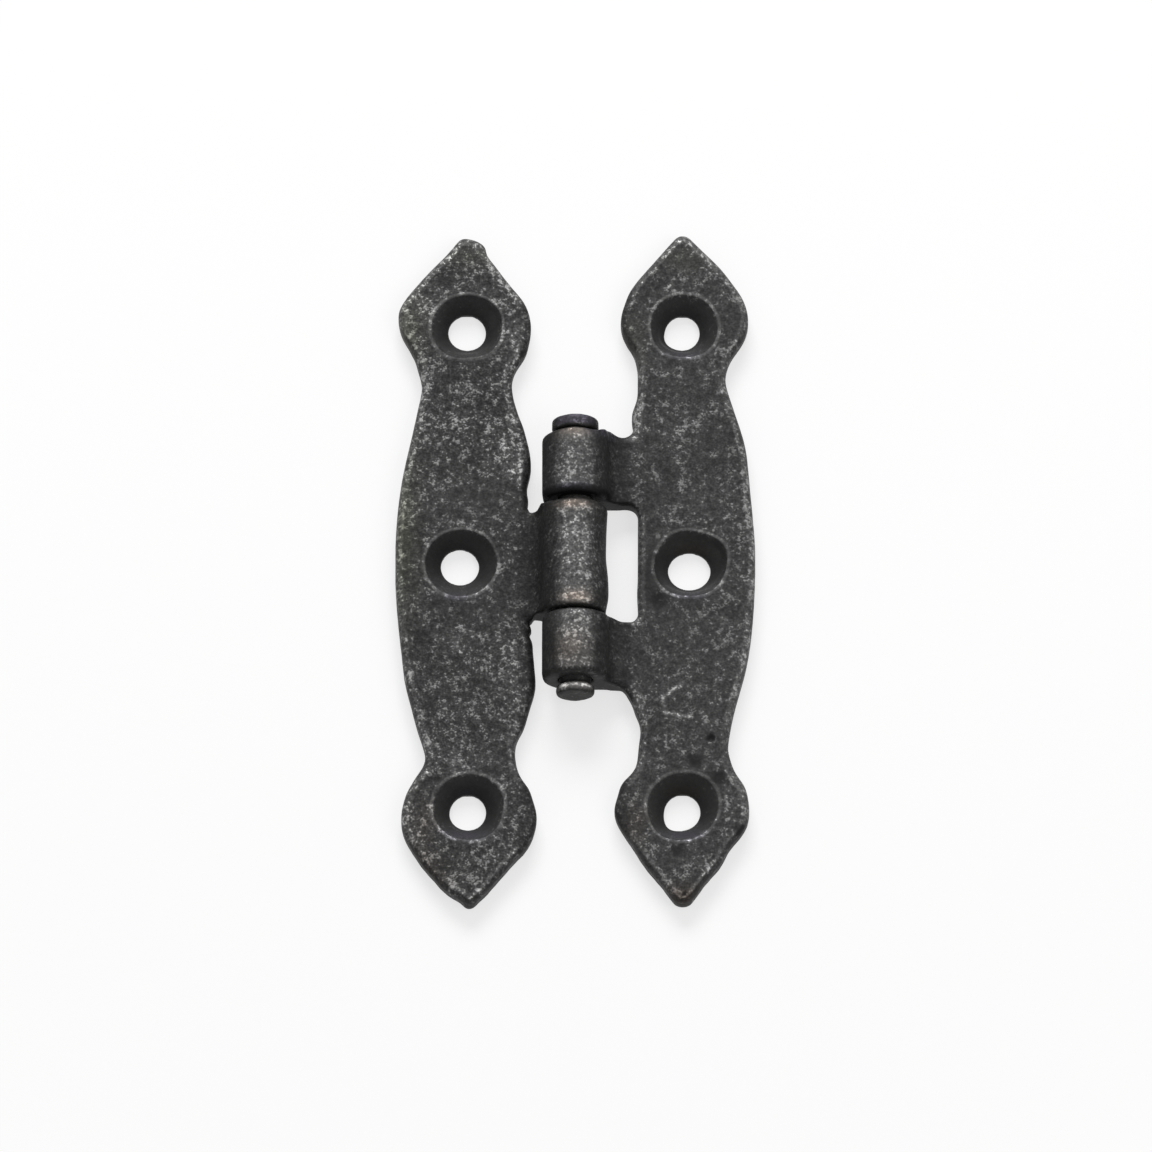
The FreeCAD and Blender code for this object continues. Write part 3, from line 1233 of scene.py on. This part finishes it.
@dataclass
class Hinge:
    """The whole hinge: two leaves and a pin.

    Attributes:
        hole_line: Distance of the end holes from the pin.
        end_hole: Distance of the end holes from the middle of a leaf.
        middle_hole_offset: How much further out the middle hole is.
        slide: How far each leaf is slid along the pin from the middle.
    """

    hole_line: float = 12.6
    end_hole: float = 29.5
    middle_hole_offset: float = 0.7
    slide: float = 0.1

    def holes(self, side: int) -> tuple[Pair, ...]:
        """Find the centres of a leaf's screw holes.

        Args:
            side: -1 for the left leaf and 1 for the right.

        Returns:
            The upper, middle and lower centre.
        """
        shift = side * self.slide
        return (
            (side * self.hole_line, self.end_hole + shift),
            (side * (self.hole_line + self.middle_hole_offset), shift),
            (side * self.hole_line, shift - self.end_hole),
        )

    def left_leaf(self) -> Casting:
        """Describe the leaf with the middle knuckle, on the left.

        Returns:
            The leaf, not yet cast.
        """
        return Casting(
            node="left_leaf", body="left_side", slot="cast_iron", seed=11,
            holes=self.holes(-1), lean=-0.009,
            # Its knuckle gets painted light and shade on its rims and a painted highlight on its crest.
            knuckles=(Knuckle(-6.35, 6.85, 0.2, 0.36, 0.1, -0.6, 0.42),),
            nudges=(
                *each(
                    Nudge, (-12.6, 29.4, 0.15, 0.3, 5.0), (-13.3, -0.1, -0.2, 0.75, 6.5),
                    (-12.6, -29.6, -0.1, 0.0, 3.0),
                ),
                *each(Ream, (-12.7, -29.6, -0.15, -0.04)),
                *each(
                    Nudge, (-12.7, -29.6, -0.12, 0.0, 2.6), (-12.5, 29.7, 0.12, 0.0, 2.6),
                    (-14.0, 38.5, 0.2, -0.15, 2.5), (-11.2, 40.2, 0.7, 0.1, 1.2),
                    (-12.3, 41.2, 0.15, -0.15, 1.0), (-6.0, 32.0, -0.45, -0.2, 3.2),
                    (-6.2, 25.2, 0.95, -0.1, 2.0), (-7.2, 22.4, 0.55, 0.0, 2.2),
                    (-6.6, 18.6, -0.3, 0.0, 1.8), (-18.5, 24.0, -0.3, 0.0, 2.0),
                    (-18.7, 16.5, 0.25, 0.0, 5.0), (-5.2, 10.0, -0.35, 0.0, 1.8),
                    (-5.4, 7.5, 0.6, 0.1, 1.5), (-5.2, 14.5, -0.25, 0.0, 2.8),
                    (-4.4, 6.9, -0.1, 0.8, 1.1, 2.7, 0.6), (-5.2, 6.6, 0.0, -0.35, 0.8),
                    (4.2, 3.0, -0.25, 0.0, 3.4), (4.2, 0.2, -0.15, 0.0, 1.8),
                    (3.8, -5.9, -0.25, 0.0, 1.0), (-4.5, -6.6, 0.0, 0.5, 0.9),
                    (-5.9, -7.0, 0.6, -0.3, 0.9), (-5.4, -7.3, 0.25, 0.0, 1.1),
                    (-5.0, -6.9, 0.2, -0.5, 0.8), (-5.3, -9.0, 0.3, 0.0, 1.0),
                    (-5.5, -7.3, 0.25, 0.0, 0.55), (-4.8, -13.0, 0.5, 0.0, 4.5),
                    (-4.6, -12.4, -0.25, 0.0, 1.8), (-7.0, 34.2, -0.22, -0.15, 1.7),
                    (-8.6, 35.7, -0.18, -0.12, 1.6), (-20.6, 31.7, -0.25, 0.05, 1.7),
                    (-20.2, -31.0, 0.1, 0.0, 1.6), (-19.6, -16.5, 0.2, 0.0, 2.5),
                    (-6.2, 16.3, -0.2, 0.0, 1.6), (-20.0, 27.5, 0.22, 0.0, 1.3),
                    (-19.0, 24.8, -0.22, 0.0, 1.3), (-18.3, -25.4, -0.25, 0.0, 1.3),
                    (-5.2, -28.4, -0.12, 0.0, 1.4), (-15.0, -30.4, -0.12, -0.05, 1.7),
                    (-9.6, 31.4, 0.38, 0.28, 2.4, 1.0), (-11.2, 2.6, 0.2, 0.25, 2.0, 1.0),
                    (-9.0, 0.2, 0.2, 0.0, 1.6, 1.0), (-8.6, -30.4, -0.2, 0.05, 1.8, 1.0),
                    (-6.7, -23.6, 0.8, 0.0, 3.2), (-5.7, -27.2, 0.4, 0.1, 2.2),
                    (-5.6, -19.5, 0.3, 0.0, 1.8), (-4.6, -30.6, 0.4, 0.0, 2.6),
                    (-5.2, -34.6, 0.4, -0.1, 2.2), (-19.8, -15.7, -0.35, 0.0, 4.0),
                    (-19.0, -26.2, -0.55, 0.0, 2.2), (-20.6, -31.5, -0.35, 0.0, 3.0),
                    (-17.8, -37.0, -0.5, -0.4, 2.8), (-15.4, -39.5, -0.35, -0.3, 2.0),
                    (-13.6, -41.1, 0.28, 0.0, 1.1), (-11.3, -41.1, -0.2, 0.0, 1.1),
                    (-12.4, 25.5, 0.0, 0.4, 2.0, 1.0), (-12.7, -33.8, 0.0, 0.15, 2.0, 1.0),
                ),
            ),
            # Patches include painted highlights and shade on the knuckle.
            patches=each(
                Patch, (-17.5, 32.0, 1.8, 2.5, 0.8), (-15.8, 36.5, 3.0, 1.8, -0.6),
                (-7.0, 28.6, 1.3, 2.2, 1.1), (-7.2, 23.0, 1.5, 2.6, -0.5),
                (-10.2, 20.6, 1.6, 1.6, -0.2), (-6.6, 29.0, 0.9, 1.8, 0.5),
                (-17.0, 36.0, 1.6, 1.6, -0.3), (-12.0, -16.2, 3.5, 1.8, -0.35),
                (-16.8, -36.4, 2.0, 1.4, -0.35), (-10.0, 4.0, 1.6, 1.6, -0.3),
                (-11.2, 31.0, 2.4, 2.4, 0.3), (-11.4, 1.2, 2.2, 2.2, 0.3),
                (-14.0, 24.5, 3.5, 1.8, -0.35), (-10.2, 20.6, 2.0, 2.0, -0.35),
                (-13.8, 18.4, 1.4, 1.4, 0.35), (-7.4, 17.8, 0.9, 2.0, 0.55),
                (-13.6, 12.4, 2.2, 2.0, -0.25), (-8.8, 14.0, 3.0, 2.5, 0.35),
                (-6.9, 12.2, 1.5, 2.2, 0.75), (-9.5, 3.0, 2.5, 5.0, -0.3),
                (-12.4, -4.7, 4.0, 1.8, -0.45), (-13.5, -9.0, 3.0, 1.5, 0.55),
                (-6.9, -13.6, 1.6, 4.2, 1.0), (-5.9, -17.0, 0.8, 3.0, 0.3),
                (-15.0, -20.5, 3.5, 1.8, -0.15), (-13.8, -24.0, 2.2, 1.6, 0.7),
                (-5.2, -30.5, 0.7, 3.0, 0.8), (-5.6, 30.5, 0.9, 2.6, 0.4),
                (-7.4, -36.0, 1.5, 1.6, 0.55), (-17.4, -31.5, 1.6, 2.0, 0.25),
                (-13.0, -39.6, 1.8, 1.0, -0.15), (-13.0, -36.3, 3.5, 2.0, -0.2),
                (-20.2, 4.0, 0.9, 6.0, -0.25), (-0.3, 6.0, 3.0, 0.7, 0.35), (0.2, -5.4, 1.9, 0.8, 0.6),
                (2.9, 0.5, 0.8, 6.0, 0.8),
            ),
            calm=-0.05,
            # Painted shade and light on the sides.
            flanks=each(
                Patch, (-4.8, -6.6, 1.5, 1.0, -2.2), (-5.6, 14.5, 3.0, 4.5, -0.8),
                (-7.0, 21.5, 2.0, 2.5, -0.6),
            ),
            quiet=each(
                Patch, (-11.0, 18.0, 6.0, 6.0, -0.3), (-12.0, 8.0, 5.5, 3.2, 0.7),
                (-12.0, -4.5, 5.5, 2.2, 0.6), (-9.5, -24.0, 2.5, 2.5, 0.4), (-0.3, 6.2, 3.0, 0.9, 0.9),
                (0.0, -5.4, 2.6, 1.0, 0.7), (-17.2, 36.0, 2.5, 2.0, 0.5), (0.0, 0.0, 3.0, 5.0, 0.3),
            ),
            rust=each(
                Patch, (-17.5, -31.5, 1.5, 3.0, 0.25), (-17.6, -37.6, 2.5, 2.5, 0.35),
                (-0.3, 6.2, 2.4, 0.7, 0.75), (0.0, -5.4, 2.2, 0.9, 0.6),
            ),
            olive=each(
                Patch, (-19.4, 29.5, 1.6, 4.0, 0.55), (-12.5, 38.5, 2.5, 1.2, 0.4),
                (-20.0, 4.0, 1.5, 10.0, 0.7),
            ),
            blue=each(
                Patch, (-12.7, -32.6, 2.2, 0.9, 0.9), (-12.7, -27.4, 1.8, 0.8, 0.5),
                (-13.9, -3.6, 1.6, 0.8, 0.5),
            ),
            scratches=each(
                Scratch, (-6.5, 14.8, -6.45, 10.2, 1.1), (-8.4, 10.9, -7.0, 12.1, 1.2),
                (-15.8, 15.2, -15.4, 14.3, 1.2), (-15.8, 15.2, -15.0, 16.0, 1.0),
                (-8.3, 15.1, -8.0, 14.6, 1.5, 0.35), (-19.3, 6.0, -17.5, 6.8, 0.9),
                (-14.2, -8.9, -13.4, -10.6, 1.2), (-14.0, -22.4, -14.0, -25.3, 0.9),
                (-15.7, -23.8, -14.0, -23.9, 0.8), (-6.6, 27.0, -7.2, 24.4, 0.9),
            ),
        )

    def right_leaf(self) -> Casting:
        """Describe the leaf with the two outer knuckles, on the right.

        Returns:
            The leaf, not yet cast.
        """
        return Casting(
            node="right_leaf", body="right_side", slot="cast_iron", seed=23,
            holes=self.holes(1),
            knuckles=(
                # Their knuckles get painted light and shade on their rims and a painted highlight on
                # their crest.
                Knuckle(7.65, 15.4, 0.42, 0.04, -2.6, 0.0, -0.15),
                Knuckle(-14.5, -6.75, 0.45, 0.15, 0.3, -0.15, 0.12),
            ),
            nudges=(
                *each(Ream, (13.3, 0.1, 0.25, 0.08)),
                *each(
                    Nudge, (13.3, 0.1, 0.0, -0.1, 3.0), (12.6, -29.4, -0.2, -0.2, 4.5),
                    (16.0, 36.5, 0.3, 0.2, 3.0), (5.4, 31.0, 0.4, 0.0, 3.4), (6.0, 27.0, 0.3, 0.1, 1.8),
                    (19.6, 15.0, 0.35, 0.0, 4.0), (6.9, 18.2, -0.6, 0.0, 1.7),
                    (5.4, 15.6, 0.0, 0.55, 1.6), (3.7, 16.1, 0.0, 1.15, 1.0, 1.0),
                    (6.4, 16.5, -0.2, 0.2, 1.2), (6.7, 19.6, -0.25, 0.0, 1.3),
                    (0.0, 15.6, 0.0, 0.22, 1.8, 3.4), (6.9, -3.2, -0.1, 0.0, 1.6),
                    (4.1, -6.8, 0.0, 0.25, 0.8, 1.0), (6.4, -16.6, -0.6, -0.5, 1.8),
                    (18.8, -17.5, -0.45, 0.0, 4.5), (18.4, -23.6, 0.4, 0.0, 1.8),
                    (19.2, -26.0, 0.6, 0.35, 2.4), (19.4, -32.6, -0.2, 0.1, 2.4),
                    (10.9, -41.0, -0.25, -0.1, 1.5), (4.6, -30.0, -0.2, 0.0, 2.0),
                    (18.9, -35.0, -0.65, 0.4, 2.9), (5.8, -26.3, -0.55, 0.2, 2.3),
                    (4.9, -30.0, -0.25, 0.0, 2.5), (6.2, -34.8, 0.2, 0.1, 2.2),
                ),
                *each(Ream, (12.6, 29.5, -0.18, -0.08), (12.4, -29.6, -0.12, -0.03)),
                *each(
                    Nudge, (12.6, 29.5, -0.12, 0.0, 2.6), (12.4, 25.4, 0.0, 0.45, 2.6, 1.0),
                    (8.9, 28.0, 0.35, 0.15, 2.8, 1.0), (13.3, -4.2, 0.0, 0.4, 2.8, 1.0),
                    (16.9, 2.3, 0.55, 0.35, 2.8, 1.0), (12.0, 4.0, -0.1, 0.25, 2.4, 1.0),
                    (15.0, -26.4, 0.05, 0.2, 2.4, 1.0), (10.3, 28.4, -0.22, -0.1, 1.3),
                    (10.8, -32.0, -0.25, -0.25, 1.6), (5.7, -16.0, -0.2, -0.15, 1.3),
                    (7.3, -19.7, 0.28, 0.0, 1.9), (5.8, -26.3, -0.25, 0.1, 1.3),
                    (5.6, -33.6, 0.3, 0.18, 1.9), (4.6, -31.4, 0.2, 0.0, 1.6),
                    (15.6, -38.8, -0.18, 0.15, 1.8), (19.3, 27.3, -0.15, 0.0, 1.5),
                    (6.0, 33.0, 0.18, -0.1, 1.6), (10.4, -31.2, -0.12, -0.08, 1.4),
                    (17.8, -36.0, 0.14, -0.14, 1.4),
                ),
            ),
            # Patches include painted highlights and shade on the knuckles.
            patches=each(
                Patch, (15.5, 24.0, 2.0, 1.8, 0.3), (8.8, 20.5, 1.8, 2.2, -0.4),
                (18.8, 18.5, 1.4, 3.0, -0.3), (9.6, 38.8, 1.4, 1.4, -0.5), (15.6, 8.5, 2.0, 2.0, 0.4),
                (7.6, 10.5, 0.9, 4.0, -0.35), (18.6, 2.0, 1.3, 3.5, -0.55), (9.0, -3.0, 1.8, 5.0, -0.6),
                (8.6, 0.2, 1.2, 2.6, -0.75), (18.9, -22.6, 1.1, 3.4, -0.3),
                (12.5, -33.9, 2.4, 0.5, -0.35), (13.3, -4.2, 2.4, 0.5, -0.2),
                (16.0, 8.0, 2.4, 2.4, 0.25), (3.2, 15.7, 1.2, 0.8, 0.6), (12.2, 5.2, 1.8, 1.0, -0.35),
                (13.6, 0.2, 3.2, 3.0, 0.75), (13.4, 30.2, 2.4, 2.4, 0.35),
                (12.8, -29.0, 2.8, 2.4, 0.25), (4.7, 11.2, 1.0, 3.4, 0.35),
                (4.7, -10.6, 1.0, 3.2, 0.65), (-3.0, 11.5, 0.9, 3.5, -0.45),
                (0.0, -12.6, 2.4, 1.0, -0.4), (5.6, -30.6, 1.0, 3.0, 0.35), (5.8, 30.0, 1.0, 3.0, 0.45),
                (14.5, -5.0, 3.5, 1.8, -0.35), (19.4, -9.7, 0.9, 3.0, 0.3),
                (7.6, -11.0, 0.9, 3.0, -0.35), (18.2, -21.4, 1.5, 3.2, -0.75),
                (15.3, -20.0, 1.2, 1.6, 0.2), (18.2, -28.5, 1.5, 2.5, 0.35),
                (18.0, -32.0, 1.2, 1.2, 0.3), (12.6, -36.0, 2.5, 1.8, 0.2),
                (15.6, -24.3, 1.4, 0.9, 0.4), (8.9, -24.0, 1.5, 1.8, 0.25),
                (12.6, -40.6, 1.8, 0.8, -0.4), (16.5, -38.0, 1.5, 1.5, -0.3),
                (0.0, 14.8, 2.2, 0.7, 1.0), (0.0, -7.4, 1.8, 0.6, 0.2),
            ),
            # Painted shade and light on the sides.
            flanks=each(
                Patch, (19.6, -33.0, 1.8, 1.8, -0.7), (5.6, -33.6, 1.5, 1.8, 0.5),
                (4.9, 30.2, 1.2, 2.4, 0.4), (5.2, 7.4, 2.4, 1.2, -2.4), (4.5, -15.4, 2.6, 1.0, -1.2),
            ),
            calm=0.35,
            quiet=each(
                Patch, (9.5, -4.0, 3.0, 5.5, 0.5), (15.0, -9.0, 4.0, 6.0, 0.2),
                (17.5, -20.0, 3.0, 4.0, 0.3), (0.0, 15.0, 2.6, 0.9, 0.9), (-0.5, -12.0, 2.6, 1.8, 0.4),
                (9.0, 0.0, 1.5, 3.0, 0.6),
            ),
            rust=each(
                Patch, (12.6, -40.4, 2.2, 1.3, 0.6), (7.0, -31.5, 1.4, 2.4, 0.3),
                (-0.3, 15.2, 2.4, 0.8, 0.6), (-0.8, -11.6, 2.4, 2.2, 0.35), (13.3, 2.3, 1.8, 0.8, 0.7),
                (12.5, -27.4, 1.8, 0.8, 0.7),
            ),
            olive=each(
                Patch, (6.5, 27.5, 1.6, 3.0, 0.4), (12.6, 38.0, 2.0, 1.2, 0.4),
            ),
            blue=each(
                Patch, (12.5, -32.6, 2.2, 0.9, 0.9), (12.6, 26.5, 2.0, 0.8, 0.6),
                (13.3, -3.4, 2.0, 0.8, 0.5), (3.2, 15.8, 1.6, 0.9, 1.0), (0.0, 8.0, 3.5, 0.6, 0.7),
            ),
            scratches=each(
                Scratch, (12.3, -14.5, 10.2, -16.1, 2.0), (10.2, -16.1, 10.5, -18.0, 1.6),
                (10.5, -18.0, 13.4, -18.5, 2.0), (10.3, 33.9, 11.2, 34.9, 1.2),
            ),
            pits=(
                Pit((9.8, -4.2), 1.5, 0.08, -1.6),
                Pit((15.75, -21.1), 0.65, 0.22, -4.0),
                Pit((13.95, -23.9), 1.25, 0.07, -2.0),
                Pit((16.6, -26.1), 1.4, 0.08, -2.0),
                Pit((19.2, -32.3), 1.1, 0.04, -2.2),
                Pit((11.85, -35.0), 1.0, 0.06, -1.6),
                Pit((12.6, -40.1), 0.4, 0.08, -2.4),
            ),
        )

    def build(self) -> list[bpy.types.Object]:
        """Build and dress every piece.

        Returns:
            The pieces.
        """
        iron = RubbedIron("rubbed_iron").build()
        steel = RubbedIron("rubbed_pin").build()
        pieces = []
        for part, finish in ((self.left_leaf(), iron), (self.right_leaf(), iron), (Pin(), steel)):
            piece = part.build(finish)
            LOG.info("%s on %s: %d faces", piece.name, part.body, len(piece.data.polygons))
            pieces.append(piece)
        return pieces


@dataclass
class Lamp:
    """A soft rectangular studio lamp, aimed at the hinge.

    Attributes:
        name: The lamp's name.
        place_m: Where it hangs.
        size_m: Its width and height.
        watts: Its power.
    """

    name: str
    place_m: Triple
    size_m: Pair
    watts: float

    def build(self) -> None:
        """Hang the lamp."""
        light = bpy.data.lights.new(self.name, "AREA")
        light.shape = "RECTANGLE"
        light.size, light.size_y = self.size_m
        light.energy = self.watts
        lamp = bpy.data.objects.new(self.name, light)
        lamp.location = self.place_m
        lamp.rotation_euler = (-Vector(self.place_m)).to_track_quat("-Z", "Y").to_euler()
        bpy.context.collection.objects.link(lamp)


@dataclass
class Studio:
    """Floor, lamps, world and camera.

    Attributes:
        tilt_deg: Angle between the view and the plates' normal.
        distance_m: Distance of the camera from its aim.
        pixel_mm: Size of one pixel of the frame at that distance.
        frame_px: Width of the frame in pixels.
        aim_m: Point at the middle of the frame.
        floor_m: Half width of the floor.
        drop_m: How far the floor lies under the hinge.
        sky: Strength of the world's even light.
    """

    tilt_deg: float = 19.0
    distance_m: float = 1.94
    pixel_mm: float = 0.1168
    frame_px: int = 1152
    aim_m: Triple = (0.00008, -0.0003, 0.0)
    floor_m: float = 4.0
    drop_m: float = 0.00002
    sky: float = 0.4

    def build(self) -> None:
        """Set up everything that isn't the hinge."""
        self.floor()
        self.world()
        self.camera()
        for lamp in (
            Lamp("key", (-0.1, 1.0, 0.7), (0.8, 0.4), 14.0),
            Lamp("fill", (0.7, -0.3, 0.9), (0.6, 0.6), 2.0),
        ):
            lamp.build()
        bpy.context.scene.view_settings.view_transform = "Standard"

    def floor(self) -> None:
        """Lay the floor just under the hinge."""
        mesh = bpy.data.meshes.new("studio_floor")
        half, under = self.floor_m, -self.drop_m
        corners = [(-half, -half, under), (half, -half, under),
                   (half, half, under), (-half, half, under)]
        mesh.from_pydata(corners, [], [(0, 1, 2, 3)])
        mesh.materials.append(StudioPaint().build())
        floor = bpy.data.objects.new("studio_floor", mesh)
        bpy.context.collection.objects.link(floor)

    def world(self) -> None:
        """Light the room evenly, and show it white to the camera and in reflections."""
        world = bpy.data.worlds.new("studio")
        graph = Graph(world)
        even, white = (
            graph.node("ShaderNodeBackground", {}, {"Color": grey(1.0), "Strength": strength})
            for strength in (self.sky, 1.0)
        )
        shade = graph.node("ShaderNodeMixShader", {}, {0: graph.seen(), 1: even, 2: white})
        graph.node("ShaderNodeOutputWorld", {}, {"Surface": shade})
        bpy.context.scene.world = world

    def camera(self) -> None:
        """Place the camera at the photograph's angle."""
        lens = bpy.data.cameras.new("view")
        lens.lens = lens.sensor_width * self.distance_m / (self.frame_px * self.pixel_mm * MM)
        lens.clip_start = 0.01
        lens.clip_end = 20.0
        camera = bpy.data.objects.new("view", lens)
        tilt = math.radians(self.tilt_deg)
        back = Vector((0.0, -math.sin(tilt), math.cos(tilt)))
        camera.location = Vector(self.aim_m) + back * self.distance_m
        camera.rotation_euler = (-back).to_track_quat("-Z", "Y").to_euler()
        bpy.context.collection.objects.link(camera)
        bpy.context.scene.camera = camera


def main() -> None:
    """Build the hinge in its studio and report each piece."""
    logging.basicConfig(level=logging.INFO, format="%(name)s: %(message)s")
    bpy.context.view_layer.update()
    Hinge().build()
    Studio().build()


if __name__ == "__main__":
    main()
